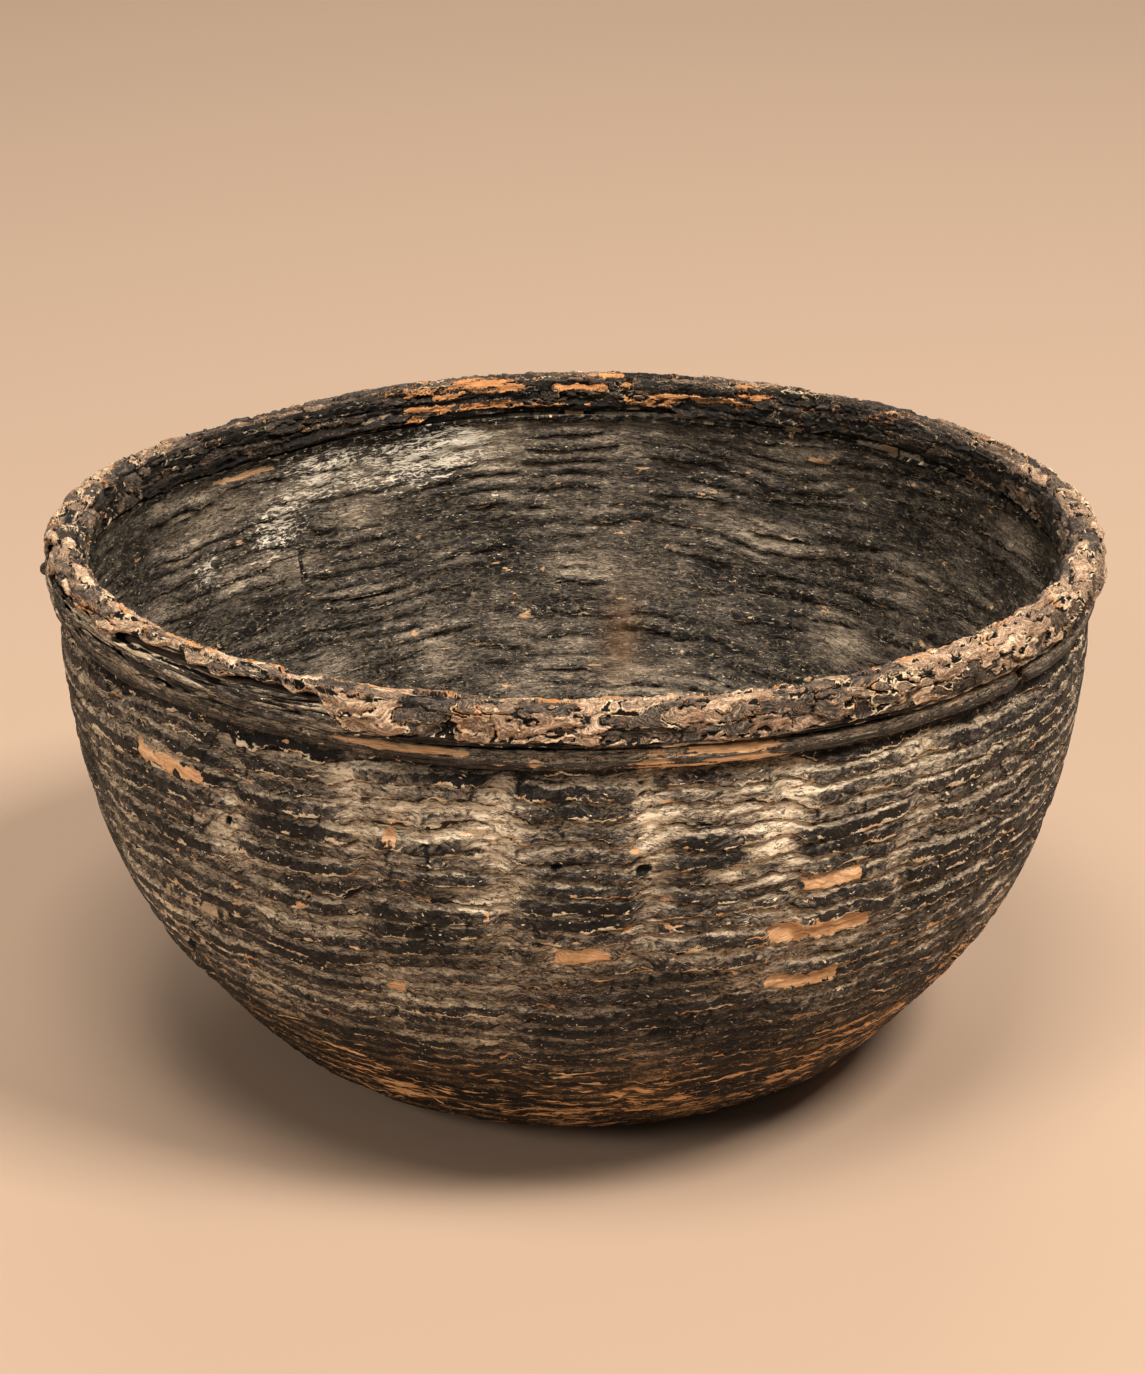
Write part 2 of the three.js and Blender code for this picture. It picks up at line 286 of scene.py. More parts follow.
def flow(angle, along, radius=DRUM):
    """Where a point lies in the weave: round a drum of one radius, and up it by the distance along."""
    return np.stack(np.broadcast_arrays(radius * np.sin(angle), -radius * np.cos(angle), along), -1)


def turned(radius, angle, height):
    """Points of the settled bowl at a radius, an angle round it and a height."""
    return settled(flow(angle, height, radius))


def wall_flow(angle, along):
    """The flow on the wall. In the middle of the base the drum narrows to the true radius, so that the
    finish doesn't run together there in a star."""
    radius = np.interp(along, ALONG, OUTLINE[:, 0])
    return flow(angle, along, radius + (DRUM - radius) * smoothstep(60, 105, along))


def add_surface(name, points, attributes, material, poles=None):
    """Makes closed bodies in one mesh, each from a grid of points that closes along its columns.

    The rows close on themselves too, or else run between two poles. The faces are turned round if the
    volume that they hold, the sum of their triangles' triple products, comes out negative.
    """
    points = points.reshape(-1, *points.shape[-3:])
    bodies, rows, columns, _ = points.shape
    index = np.arange(bodies * rows * columns).reshape(bodies, rows, columns)
    right, up = np.roll(index, -1, 2), np.roll(index, -1, 1)
    quads = np.stack([index, right, np.roll(right, -1, 1), up], -1)
    vertices = points.reshape(-1, 3)
    fans = np.zeros((0, 3), int)
    if poles is not None:
        quads = quads[:, :-1]
        first = len(vertices) + 2 * np.arange(bodies)[:, None] + np.zeros((1, columns), int)
        vertices = np.vstack([vertices, np.reshape(poles, (-1, 3))])
        start = np.stack([right[:, 0], index[:, 0], first], -1)
        end = np.stack([index[:, -1], right[:, -1], first + 1], -1)
        fans = np.vstack([start.reshape(-1, 3), end.reshape(-1, 3)])
    quads = quads.reshape(-1, 4)
    a, b, c, d = (vertices[quads[:, k]] for k in range(4))
    volume = np.sum(a * np.cross(b, c)) + np.sum(a * np.cross(c, d))
    if volume < 0:
        quads, fans = quads[:, ::-1], fans[:, ::-1]
    mesh = bpy.data.meshes.new(name)
    mesh.vertices.add(len(vertices))
    mesh.vertices.foreach_set("co", (vertices * MM).astype(np.float32).ravel())
    mesh.loops.add(quads.size + fans.size)
    loops = np.concatenate([quads.ravel(), fans.ravel()]).astype(np.int32)
    mesh.loops.foreach_set("vertex_index", loops)
    mesh.polygons.add(len(quads) + len(fans))
    starts = np.concatenate([np.arange(len(quads)) * 4, quads.size + np.arange(len(fans)) * 3])
    mesh.polygons.foreach_set("loop_start", starts.astype(np.int32))
    mesh.update(calc_edges=True)
    for key, values in attributes.items():
        kind, field = ("FLOAT_VECTOR", "vector") if values.shape[-1] == 3 else ("FLOAT", "value")
        flat = values.reshape(bodies * rows * columns, -1)
        if poles is not None:
            ends = values.reshape(bodies, rows * columns, -1)[:, [0, -1]]
            flat = np.vstack([flat, ends.reshape(2 * bodies, -1)])
        mesh.attributes.new(key, kind, "POINT").data.foreach_set(field, flat.astype(np.float32).ravel())
    mesh.shade_smooth()
    mesh.set_sharp_from_angle(angle=np.radians(48))
    mesh.materials.append(material)
    piece = bpy.data.objects.new(name, mesh)
    bpy.context.scene.collection.objects.link(piece)
    return piece


def place_piece(piece, slot, *nodes):
    """Lets a piece ride on the bowl's body, and hides the frame's nodes that it stands for. Its slot is not
    used.
    """
    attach(piece, "root")
    if nodes:
        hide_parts(*nodes)


def coat_finish(shape, **given):
    """Attributes of a lacquered piece: those given, and for the rest the values of a whole coat."""
    whole = {
        "dust": 0, "bare": -9, "cream": -9, "soot": 0, "low": 0, "row": 0, "strength": 0, "streaky": -1}
    return {key: np.zeros(shape) + value for key, value in {**whole, **given}.items()}


def weave_rows(angle, below, seed):
    """The rows of strands at each point: place within the row, its strength, and the swell of its column.

    Rows lie a pitch apart and wander by a slow noise. From one stake to the next they shift by half a
    pitch, because a strand that passes over a stake passes behind the next one. The strength is random
    for each row and column, and falls between the stakes, more at the front and back than at the sides.
    """
    stake = angle / TURN * STAKES
    column = np.round(stake)
    drift = 0.09 * noise(stake, 1.5, below / 12, seed + 6, 3)
    over = np.clip(1 - (2 * (stake + drift - column)) ** 2, 0, 1)
    breaks = 0.15 + 0.85 * np.cos(angle) ** 4
    odd = smoothstep(0.3, 0.7, np.abs((stake + 1) % 2 - 1))
    wander = 3.2 * noise(stake, 0.5, below / 30, seed, 3)
    wander += 1.1 * noise(stake, 3, below / 9, seed + 1)
    rows = (below + wander) / millimetres("row_pitch") + 0.5 * odd * breaks
    row = np.floor(rows)
    table = np.random.default_rng(seed + 2).uniform(0, 1, (512, STAKES))
    chance = table[row.astype(int) % 512, column.astype(int) % STAKES]
    fringe = over + 0.25 * noise(stake, 6, below / 5, seed + 5)
    high_up = 1 - 0.6 * smoothstep(55, 105, below)
    fade = 1 - 0.9 * breaks * high_up * (1 - smoothstep(0, 0.6, fringe))
    strength = fade * (0.8 + 0.3 * np.sin(angle) ** 2 + 0.75 * (chance - 0.5) * smoothstep(0, 0.5, over))
    ragged = 0.12 * noise(stake, 12, below / 2.5, seed + 3)
    ragged += 0.08 * noise(stake, 28, below / 1.3, seed + 4)
    return np.clip(rows - row + ragged, 0, 1), strength, over * breaks, stake


def outside_fields(angle, along):
    """Depth, slip and finish of the outer weave.

    A row rises slowly from under the row above it to a rounded nose low down, as a power of a sine, and
    sags there, so that it shades the start of the next row. Fibres, lumps, chips, flakes and pits are
    noises and cells on top, and the neck under the rim is a bell-shaped groove.
    """
    degrees, below = signed_degrees(angle), LENGTH - along + RIM_DROP
    radius = np.interp(along, ALONG, OUTLINE[:, 0])
    place, strength, swell, stake = weave_rows(angle, below, 11)
    low_part = plateau(below, 112, 150, 205, 222)
    calm = (1 - 0.5 * smoothstep(108, 150, below)) * (1 - 0.6 * smoothstep(195, 225, below))
    lift = millimetres("outer_ridge") * strength * calm * np.sin(np.pi * place**2) ** 0.7
    fibre = 0.20 * noise(stake, 8, below / 1.6, 21)
    fibre += 0.15 * noise(stake, 24, below / 1.25, 22)
    fibre += 0.4 * (1 - strength) * noise(stake, 5, below / 2.1, 33)
    lumps = 0.35 * noise(stake, 2.5, below / 11, 23, 3)
    ragged_edge = 0.9 * noise(stake, 14, below / 2.6, 25, 3)
    chips = 2.6 * (noise(stake, 5, below / 1.9, 24, 3) - 1.18)
    heavy = 0.5 * np.exp(-(((degrees + 5) / 40) ** 2)) + 0.4 * smoothstep(15, 45, degrees)
    streaky = low_part * (0.35 + heavy + 0.5 * noise(stake, 1, below / 12, 29))
    streaky += 0.45 * smoothstep(20, 50, degrees) * (1 - low_part) * smoothstep(70, 100, below)
    bare = np.maximum(chips, bare_field(degrees, below, radius, BARE_OUTSIDE) + ragged_edge)
    cream = bare_field(degrees, below, radius, CREAM_OUTSIDE) + 3 * ragged_edge - 1
    edge, _, _, _, chance = cells(stake * 3, below / 12, STAKES * 3, 26)
    _, pit_x, pit_y, pit_size, pit_chance = cells(stake * 4, below / 11, STAKES * 4, 27)
    pit = 0.2 - 0.14 * pit_size - np.hypot(pit_x, 1.3 * pit_y) + 0.05 * ragged_edge
    pit = smoothstep(0, 0.06, pit) * (pit_chance > 0.96) * (1 - low_part)
    split = (1 - smoothstep(0.02, 0.08, edge)) * (chance > 0.88) * (1 - low_part)
    flake, _, flake_y, _, flake_chance = cells(stake * 6 + place, below / 3.1, STAKES * 6, 31)
    flake = (0.5 * (flake_chance - 0.5) + 0.5 * flake_y) * smoothstep(0, 0.12, flake)
    neck = np.exp(-(((below - 21.5) / 2.2) ** 2))
    relief = lift + 0.45 * swell * calm + (fibre + lumps + 1.1 * flake) * calm**1.5 - 0.95 - 1.1 * neck
    relief -= 0.38 * smoothstep(-0.25, 0.25, bare) + 0.35 * smoothstep(0, 1, cream)
    relief -= 1.3 * pit + 0.3 * split
    depth = np.clip(0.75 - relief, -0.9, OUTER_BAND_BACK - 0.1)
    slip = 0.8 * lift * smoothstep(0.4, 0.85, place)
    cloud = noise(stake, 3, below / 7, 32, 3)
    # Besides real dust this paints shade: less in the neck's groove and the band just under the rim, as the
    # rim's shadow, and less in pits, as the shade in them. It also falls towards the bottom.
    dust = 0.48 + 0.04 * (1 - strength) * (1 + cloud) * (1 - smoothstep(70, 110, below))
    dust -= 0.14 * (1 - strength) * smoothstep(60, 100, below)
    dust += 0.24 * (0.7 + 0.9 * cloud) * soft_spots(degrees, below, radius, DUSTY_OUTSIDE)
    dust += 0.14 * noise(stake, 1.5, below / 16, 28, 3) - 0.6 * pit - 0.25 * neck
    dust -= 0.1 * smoothstep(100, 135, below) + 0.15 * smoothstep(22, 14, below)
    # Pits and splits are darkened, partly as painted shade in them.
    return depth, slip, coat_finish(
        angle.shape, dust=dust, bare=bare, cream=cream, soot=np.clip(pit + 0.6 * split, 0, 1), low=low_part,
        row=place * millimetres("row_pitch"), strength=strength, streaky=streaky)


def inside_fields(angle, along):
    """Depth, slip and finish of the inner weave: the same rows as outside, flatter and blurred by coat.

    All relief fades out towards the middle of the base, where the stakes cross under a smooth coat.
    """
    degrees, below = signed_degrees(np.pi - angle), LENGTH - along + RIM_DROP
    radius = np.interp(along, ALONG, OUTLINE[:, 0])
    place, strength, swell, stake = weave_rows(angle, below, 41)
    centre = smoothstep(12, 66, along)
    calm = (1 - 0.5 * smoothstep(130, 190, below)) * centre
    broken = smoothstep(-0.45, 0.35, noise(stake, 1.5, below / 6, 50, 3))
    lift = broken * strength * calm * np.sin(np.pi * place**1.5) ** 0.9
    lift = millimetres("inner_ridge") * lift
    fibre = 0.25 * noise(stake, 6, below / 2.2, 42)
    fibre += 0.18 * noise(stake, 18, below / 2, 43)
    fibre += 0.45 * noise(stake, 3, below / 3.2, 49, 3)
    lumps = 0.45 * noise(stake, 2, below / 13, 44, 3)
    crack_wobble = 1.5 * noise(stake, 4, below / 5, 45)
    around, down = from_place(degrees, below, radius, CRACK_INSIDE)
    crack = (1 - smoothstep(0.4, 1.1, np.abs(around + crack_wobble))) * (np.abs(down) < 10)
    residue = soft_spots(degrees, below, radius, RESIDUE_INSIDE)
    ragged_edge = 0.9 * noise(stake, 10, below / 2.8, 46, 3)
    bare = np.maximum(
        bare_field(degrees, below, radius, BARE_INSIDE) + ragged_edge,
        2.2 * (noise(stake, 7, below / 2.4, 47, 3) - 1.12))
    relief = lift + (0.3 * swell + fibre + lumps) * centre - 0.7
    relief -= 1.2 * crack + 0.25 * smoothstep(-0.3, 0.3, bare)
    dust = 0.27 + 0.2 * centre * noise(stake, 1.5, below / 15, 48, 3) + 0.1 * residue
    # The band just under the lip is painted darker as the lip's shadow, and the crack is darkened.
    dust -= 0.5 * smoothstep(17, 14, below) + 0.5 * crack
    stain = soft_spots(degrees, below, radius, STAIN_INSIDE)
    depth = np.clip(WALL_FACE - 0.1 + relief, INNER_BAND_BACK + 0.3, WALL_FACE + 1.4)
    return depth, 0.3 * lift, coat_finish(
        angle.shape, dust=dust, bare=bare, soot=crack, row=place * millimetres("row_pitch"),
        strength=0.6 * strength * broken * centre, residue=residue, stain=stain)


def wall_band(low, high, rows, columns, fields, back):
    """Closed ring of the wall between two distances along the outline, as points and attributes.

    The face is the outline moved by the depth that the fields give. The back is a plain strip that runs
    a lap further at both ends, under the neighbouring bands.
    """
    angle = np.linspace(0, TURN, columns, endpoint=False)[None, :]
    along = np.linspace(low, high, rows)[:, None]
    angle, along = np.broadcast_arrays(angle, along)
    depth, slip, finish = fields(angle, along)
    radius, height = on_wall(along - slip, depth)
    strips = 2 + int((high - low) / 5)
    under = np.linspace(min(high + BAND_LAP, LENGTH), low - BAND_LAP, strips)[:, None]
    back_radius, back_height = on_wall(under, back)
    spread = np.zeros((strips, columns))
    radius = np.vstack([radius, back_radius + spread])
    height = np.maximum(np.vstack([height, back_height + spread]), 0.05)
    finish = {key: np.vstack([value, spread + value[:1]]) for key, value in finish.items()}
    angle, along = np.vstack([angle, spread + angle[:1]]), np.vstack([along, under + spread])
    return turned(radius, angle, height), {**finish, "flow": wall_flow(angle, along)}


def linear(value):
    """Linear colour from an sRGB hex string."""
    channels = [int(value[i:i + 2], 16) / 255 for i in (1, 3, 5)]
    return tuple(c / 12.92 if c <= 0.04045 else ((c + 0.055) / 1.055) ** 2.4 for c in channels) + (1,)


def colour_of(key):
    """One of the panel's colours."""
    return tuple(getattr(bpy.context.scene.bowl_colours, key))


def ramp_of(key):
    """Positions and colours of one of the panel's ramps."""
    return [(position, colour_of(f"{key}_{i}")) for i, (position, _) in enumerate(RAMPS[key][1], 1)]


def set_inputs(tree, node, inputs):
    """Sets a node's inputs to values, or links them to sockets or to the first outputs of nodes."""
    for key, value in inputs.items():
        if isinstance(value, bpy.types.Node):
            value = value.outputs[0]
        if isinstance(value, bpy.types.NodeSocket):
            tree.links.new(value, node.inputs[key])
        else:
            node.inputs[key].default_value = value


def add_node(tree, kind, inputs=None, stops=(), **settings):
    """Adds a node with its settings and inputs. Stops are the positions and colours of a ramp."""
    node = tree.nodes.new("ShaderNode" + kind)
    for key, value in settings.items():
        setattr(node, key, value)
    set_inputs(tree, node, inputs or {})
    if stops:
        elements = node.color_ramp.elements
        while len(elements) < len(stops):
            elements.new(0.5)
        for element, (position, colour) in zip(elements, stops):
            element.position = position
            element.color = colour
    return node


def new_material(name):
    """A material with its node tree and its shader."""
    material = bpy.data.materials.new(name)
    material.use_nodes = True
    return material, material.node_tree, material.node_tree.nodes["Principled BSDF"]


def fine_noise(tree, vector, scale, detail=4.0, roughness=0.66):
    """Noise with features that are one over the scale long, in millimetres, along each axis."""
    scaled = add_node(tree, "Mapping", {"Vector": vector, "Scale": scale})
    return add_node(tree, "TexNoise", {
        "Vector": scaled, "Scale": 1.0, "Detail": detail, "Roughness": roughness})


def cane_grain(tree, vector, ramp):
    """Colour of bare cane: fibres about 10 mm long and half a millimetre wide, light and dark by turns."""
    fibres = fine_noise(tree, vector, (0.10, 0.10, 2.4), 5.0, 0.65)
    return add_node(tree, "ValToRGB", {0: fibres}, ramp_of(ramp))


def weighted_sum(tree, start, *terms):
    """Adds values, each times its factor, to a start value."""
    for value, factor in terms:
        start = add_node(tree, "Math", {0: value, 1: factor, 2: start}, operation="MULTIPLY_ADD")
    return start


def lay_over(tree, under, over, value, low=0.0, high=1.0, top=1.0):
    """Lays one colour over another where a value passes from low to high, at most by the top share."""
    mask = add_node(tree, "MapRange", {0: value, 1: low, 2: high, 4: top})
    return add_node(tree, "Mix", {0: mask, 6: under, 7: over}, data_type="RGBA").outputs[2]


def flake_cells(tree, vector, scale):
    """Flakes of the coat: the distance to each flake's edge, and a random number for each flake."""
    scaled = add_node(tree, "Mapping", {"Vector": vector, "Scale": scale})
    wobble = add_node(tree, "TexNoise", {"Vector": scaled, "Scale": 2.0, "Detail": 3.0})
    moved = add_node(tree, "VectorMath", {
        0: wobble.outputs["Color"], 1: (0.7, 0.7, 0.7), 2: scaled}, operation="MULTIPLY_ADD")
    edge, cell = (
        add_node(tree, "TexVoronoi", {"Vector": moved, "Scale": 1.0}, feature=feature)
        for feature in ("DISTANCE_TO_EDGE", "F1"))
    parts = add_node(tree, "SeparateColor", {"Color": cell.outputs["Color"]})
    return edge.outputs["Distance"], parts.outputs["Red"]


def finish_surface(tree, shader, colour, tone, height):
    """Links the colour and a relief up to 0.6 mm deep. Where the tone is light with dust the surface is
    rougher, and all of it reflects less than new lacquer or cane does."""
    roughness = add_node(tree, "MapRange", {0: tone, 1: 0.15, 2: 0.6, 3: 0.46, 4: 0.9})
    bump = add_node(tree, "Bump", {"Strength": 0.8, "Distance": 0.0006, "Height": height})
    set_inputs(tree, shader, {
        "Base Color": colour, "Roughness": roughness, "Specular IOR Level": 0.2, "Normal": bump})


def lacquered_cane(name, coat, inside=False):
    """Brushed lacquer over woven cane: the coat is slightly glossy in the hollows and under the rows, grey
    with dust on top of them, and chipped off in small flecks that bare the pale cane. The underside of
    each row is painted darker as shade, and the hollow under it painted black as its shadow. Inside
    there are a stain, brush strokes and a pale residue as well."""
    if name in bpy.data.materials:
        return bpy.data.materials[name]
    material, tree, shader = new_material(name)
    place = add_node(tree, "Attribute", attribute_name="flow").outputs["Vector"]
    dust, bare, cream, soot, low, row, strength, streaky = (
        add_node(tree, "Attribute", attribute_name=key).outputs["Fac"]
        for key in ("dust", "bare", "cream", "soot", "low", "row", "strength", "streaky"))
    # The strands aren't straight, so a slow noise lifts and lowers the finer patterns by up to 4 mm.
    warp = add_node(tree, "TexNoise", {"Vector": place, "Scale": 0.08, "Detail": 3.0})
    bent = add_node(tree, "VectorMath", {
        0: warp.outputs["Color"], 1: (0.0, 0.0, 4.0), 2: place}, operation="MULTIPLY_ADD")
    # Patches of coat are 9 by 2.5 mm, streaks along a strand 4.5 by 0.7 mm, and its fibres 1.8 by 0.3 mm.
    # Real grit is about 0.1 mm across, and is drawn 0.9 mm across, because it would not show otherwise.
    patch = fine_noise(tree, bent, (0.11, 0.11, 0.4), 6.0)
    streak = fine_noise(tree, bent, (0.22, 0.22, 1.5), 6.0)
    hair = fine_noise(tree, bent, (0.55, 0.55, 3.6), 3.0)
    grit = fine_noise(tree, place, (1.1, 1.1, 1.1))
    # Down a row, with a ragged edge, come the dusty shoulder, the nose painted darker as shade, and
    # the hollow painted black as the row's shadow.
    jagged = weighted_sum(tree, -1.6, (streak, 2.0), (grit, 1.2), (row, 1.0))
    whole = add_node(tree, "MapRange", {0: patch, 1: 0.42, 2: 0.5, 3: 0.5})
    whole = add_node(tree, "Math", {0: whole, 1: strength}, operation="MULTIPLY")
    # The nose paints the underside of each row darker, as shade.
    nose = add_node(tree, "MapRange", {0: jagged, 1: 2.65, 2: 2.85, 4: whole})
    strong = add_node(tree, "MapRange", {0: strength, 1: 0.12, 2: 0.35})
    hollow = add_node(tree, "MapRange", {0: jagged, 1: 4.75, 2: 4.9, 4: strong})
    splits = fine_noise(tree, bent, (0.26, 0.26, 1.5), 3.0)
    splits = add_node(tree, "MapRange", {0: splits, 1: 0.385, 2: 0.36})
    island = add_node(tree, "MapRange", {0: patch, 1: 0.495, 2: 0.51})
    vein = fine_noise(tree, bent, (0.2, 0.2, 0.85), 2.5)
    vein = add_node(tree, "Math", {0: vein, 1: 0.5, 2: 0.032}, operation="COMPARE")
    # Pits, splits, cracks and the sides of canes tucked against their neighbours are darkened here, partly
    # as painted shade.
    tone = weighted_sum(
        tree, -0.93, (vein, -0.1), (patch, 0.3), (streak, 0.8), (hair, 0.6), (grit, 0.35), (dust, 1.2),
        (nose, -0.42), (island, 0.03), (soot, -0.6), (splits, -0.28))
    colour = add_node(tree, "ValToRGB", {0: tone}, ramp_of(coat))
    colour = add_node(
        tree, "Mix", {0: low, 6: colour, 7: colour_of("low_tint")}, data_type="RGBA",
        blend_type="MULTIPLY").outputs[2]
    # The coat is black in the gaps between flakes, the hollow under a row is painted black as its shadow,
    # and the cane shows in a broken line under a row and in flecks.
    gap = add_node(tree, "Math", {0: patch, 1: 0.49, 2: 0.008}, operation="COMPARE")
    gap = add_node(tree, "Math", {0: gap, 1: hollow}, operation="MAXIMUM")
    colour = lay_over(tree, colour, colour_of("gap"), gap, top=0.92)
    hue = fine_noise(tree, place, (0.12, 0.12, 0.12), 2.0)
    hue = weighted_sum(tree, 0.0, (low, 0.2), (hue, 1.0))
    chips = add_node(tree, "ValToRGB", {0: hue}, ramp_of("chips"))
    cracks, cell_tone = flake_cells(tree, bent, (0.15, 0.15, 0.42))
    edge = weighted_sum(tree, -4.68, (jagged, 1.0))
    edge = add_node(tree, "Math", {0: edge}, operation="ABSOLUTE")
    edge = weighted_sum(tree, 0.0, (edge, -1.2), (cell_tone, 1.0), (strength, 0.5))
    colour = lay_over(tree, colour, chips, edge, 0.93, 0.98, 0.92)
    colour = lay_over(tree, colour, chips, fine_noise(tree, bent, (0.42, 0.42, 1.6), 3.0), 0.66, 0.67)
    # Larger losses: streaks that crowd together, cream patches and bare ones, all with gritty edges.
    streaks, crowd = (
        fine_noise(tree, place, scale, 3.5) for scale in ((0.05, 0.05, 0.9), (0.03, 0.03, 0.16)))
    streaks = weighted_sum(tree, -0.345, (streaks, 1.0), (crowd, 0.55), (streaky, 0.2))
    colour = lay_over(tree, colour, cane_grain(tree, place, "streaks"), streaks, 0.672, 0.68)
    cream = weighted_sum(tree, -3.8, (grit, 1.6), (streak, 6.0), (cream, 1.0))
    colour = lay_over(tree, colour, cane_grain(tree, place, "cream"), cream, -0.3, 0.6, 0.85)
    bare = weighted_sum(tree, -1.8, (grit, 1.6), (streak, 2.0), (bare, 1.0))
    colour = lay_over(tree, colour, cane_grain(tree, place, "bare"), bare, -0.08, 0.12)
    if inside:
        residue, stain = (
            add_node(tree, "Attribute", attribute_name=key).outputs["Fac"] for key in ("residue", "stain"))
        speck = fine_noise(tree, bent, (0.3, 0.3, 0.9), 5.0)
        colour = lay_over(tree, colour, colour_of("speck"), speck, 0.62, 0.64, 0.65)
        colour = lay_over(tree, colour, colour_of("stain"), stain, top=0.5)
        strokes = fine_noise(tree, place, (0.17, 0.17, 0.4), 1.5)
        strokes = add_node(tree, "Math", {0: strokes, 1: 0.5, 2: 0.04}, operation="COMPARE")
        colour = lay_over(tree, colour, colour_of("stroke"), strokes, top=0.22)
        white = weighted_sum(tree, -2.4, (strokes, 0.25), (streak, 2.6), (hair, 1.4), (residue, 0.7))
        colour = lay_over(tree, colour, colour_of("residue"), white, 0.3, 0.4, 0.92)
    flake_top = add_node(tree, "MapRange", {0: cracks, 2: 0.07})
    relief = weighted_sum(
        tree, 0.0, (grit, 0.5), (streak, 0.8), (hair, 0.7), (flake_top, 0.25), (cell_tone, 0.3),
        (island, 0.35), (gap, -0.5), (vein, -0.2), (splits, -0.5))
    finish_surface(tree, shader, colour, tone, relief)
    return material


def cracked_bark(name):
    """Skin of the rim, bark laid over the canes and lacquered: plates, some smooth and slate dark, some
    tan and fibrous, with pale broken edges where they curl, and dark grime in the gaps between them. Lost
    plates and pits are painted near black, as grime and as the shadow in them."""
    material, tree, shader = new_material(name)
    place, grain = (
        add_node(tree, "Attribute", attribute_name=key).outputs["Vector"]
        for key in ("flow", "grain"))
    tone, gap, curl, bare, edge = (
        add_node(tree, "Attribute", attribute_name=key).outputs["Fac"]
        for key in ("tone", "gap", "curl", "bare", "edge"))
    # The fibres of a plate are 3 by 0.4 mm and turn with it. The grit is 0.8 mm across, coarser than the
    # real one, so that it shows.
    fibre = fine_noise(tree, grain, (0.35, 2.4, 1.0), 5.0)
    grit = fine_noise(tree, place, (1.3, 1.3, 1.3), 5.0)
    mixed = weighted_sum(tree, -1.4, (fibre, 1.8), (grit, 1.0), (tone, 1.0))
    colour = add_node(tree, "ValToRGB", {0: mixed}, ramp_of("bark"))
    hue = fine_noise(tree, place, (0.09, 0.09, 0.09), 3.0)
    edge_colour = add_node(tree, "ValToRGB", {0: hue}, ramp_of("bark_edge"))
    # A plate is pale just inside its gritty border, most where it curls, and the gap outside it is dark.
    border = weighted_sum(tree, -0.08, (edge, 1.0), (grit, 0.16))
    inner_side = add_node(tree, "MapRange", {0: border, 1: 0.085, 2: 0.1})
    pale = weighted_sum(tree, 0.8, (border, -10.0), (curl, 1.0))
    pale = add_node(tree, "MapRange", {0: pale, 2: 0.1, 4: inner_side})
    colour = lay_over(tree, colour, edge_colour, pale, top=0.85)
    cracks, cell_tone = flake_cells(tree, place, (0.3, 0.3, 0.4))
    fine_edge = weighted_sum(tree, -1.35, (cracks, -9.0), (hue, 2.4), (cell_tone, 0.3))
    colour = lay_over(tree, colour, edge_colour, fine_edge, 0.1, 0.25, 0.8)
    colour = lay_over(tree, colour_of("plate_gap"), colour, inner_side)
    worn = weighted_sum(tree, 0.0, (grit, 2.0), (bare, 1.0))
    colour = lay_over(tree, colour, cane_grain(tree, place, "bark_worn"), worn, 0.95, 1.15)
    # Lost plates and pits are painted near black, as grime and as the shadow in them.
    colour = lay_over(tree, colour, colour_of("grime"), gap)
    finish_surface(tree, shader, colour, mixed, weighted_sum(tree, 0.0, (grit, 1.0), (fibre, 1.0)))
    return material


def dry_cane(name, ramp):
    """Split cane without coat: matt, with long fibres along the strip and dirt between them."""
    material, tree, shader = new_material(name)
    place = add_node(tree, "TexCoord").outputs["Object"]
    place = add_node(tree, "Mapping", {"Vector": place, "Scale": (1000, 1000, 1000)})
    set_inputs(tree, shader, {"Base Color": cane_grain(tree, place, ramp), "Roughness": 0.8})
    return material


def size_property(name, description, value, least):
    """A length for the panel, from millimetres."""
    return bpy.props.FloatProperty(
        name=name, description=description, default=value * MM, min=least * MM, unit="LENGTH", precision=5)


def colour_property(name, value):
    """A colour for the panel, from an sRGB hex string."""
    return bpy.props.FloatVectorProperty(
        name=name, description=f"{name}, as a linear colour", default=linear(value), size=4, min=0, max=1,
        subtype="COLOR")


class BowlSizes(bpy.types.PropertyGroup):
    """Sizes of the weave and the rim, and how finely they are drawn"""
    row_pitch: size_property("Row height", "Height of one row of strands", 6, 3)
    outer_ridge: size_property("Outer ridge", "How far a row stands out on the outside", 2.5, 0)
    inner_ridge: size_property("Inner ridge", "How far a row stands out on the inside", 1.25, 0)
    sag: size_property("Rim sag", "How far the rim has sunk at the back left", 3, 0)
    spacing: size_property("Spacing", "Distance between points round the outside", 0.86, 0.3)
    row_spacing: size_property("Row spacing", "Distance between points up the outside", 0.52, 0.3)
    rim_columns: bpy.props.IntProperty(
        name="Rim columns", description="Points round the rim's skin", default=1320, min=240)
    fibres: bpy.props.IntProperty(
        name="Frayed fibres", description="Fibres along the worn stretch of the rim", default=120, min=1)


class BowlColours(bpy.types.PropertyGroup):
    """The plain colours, and one colour for each stop of each ramp"""
    __annotations__ = {
        **{key: colour_property(name, value) for key, (name, value) in PLAIN_COLOURS.items()},
        **{f"{key}_{i}": colour_property(f"{name} {i}", value)
           for key, (name, stops) in RAMPS.items() for i, (_, value) in enumerate(stops, 1)}}


class BOWL_OT_outer_weave(bpy.types.Operator):
    """Makes one ring of woven strands for each course of the wall"""
    bl_idname = "bowl.outer_weave"
    bl_label = "Outer weave"

    def execute(self, context):
        material = lacquered_cane("lacquered_cane_outside", "outer_coat")
        height = (LENGTH - FOOT) / len(COURSES)
        for i, course in enumerate(COURSES):
            low = FOOT + i * height
            radius = on_wall(low + height, 0)[0]
            columns = int(TURN * max(radius, 0.6 * RIM_OUTER) / millimetres("spacing"))
            rows = int(height / millimetres("row_spacing")) + 1
            points, finish = wall_band(low, low + height, rows, columns, outside_fields, OUTER_BAND_BACK)
            piece = add_surface(f"weave_{course[-2:]}", points, finish, material)
            place_piece(piece, "coat", course)
        return {"FINISHED"}


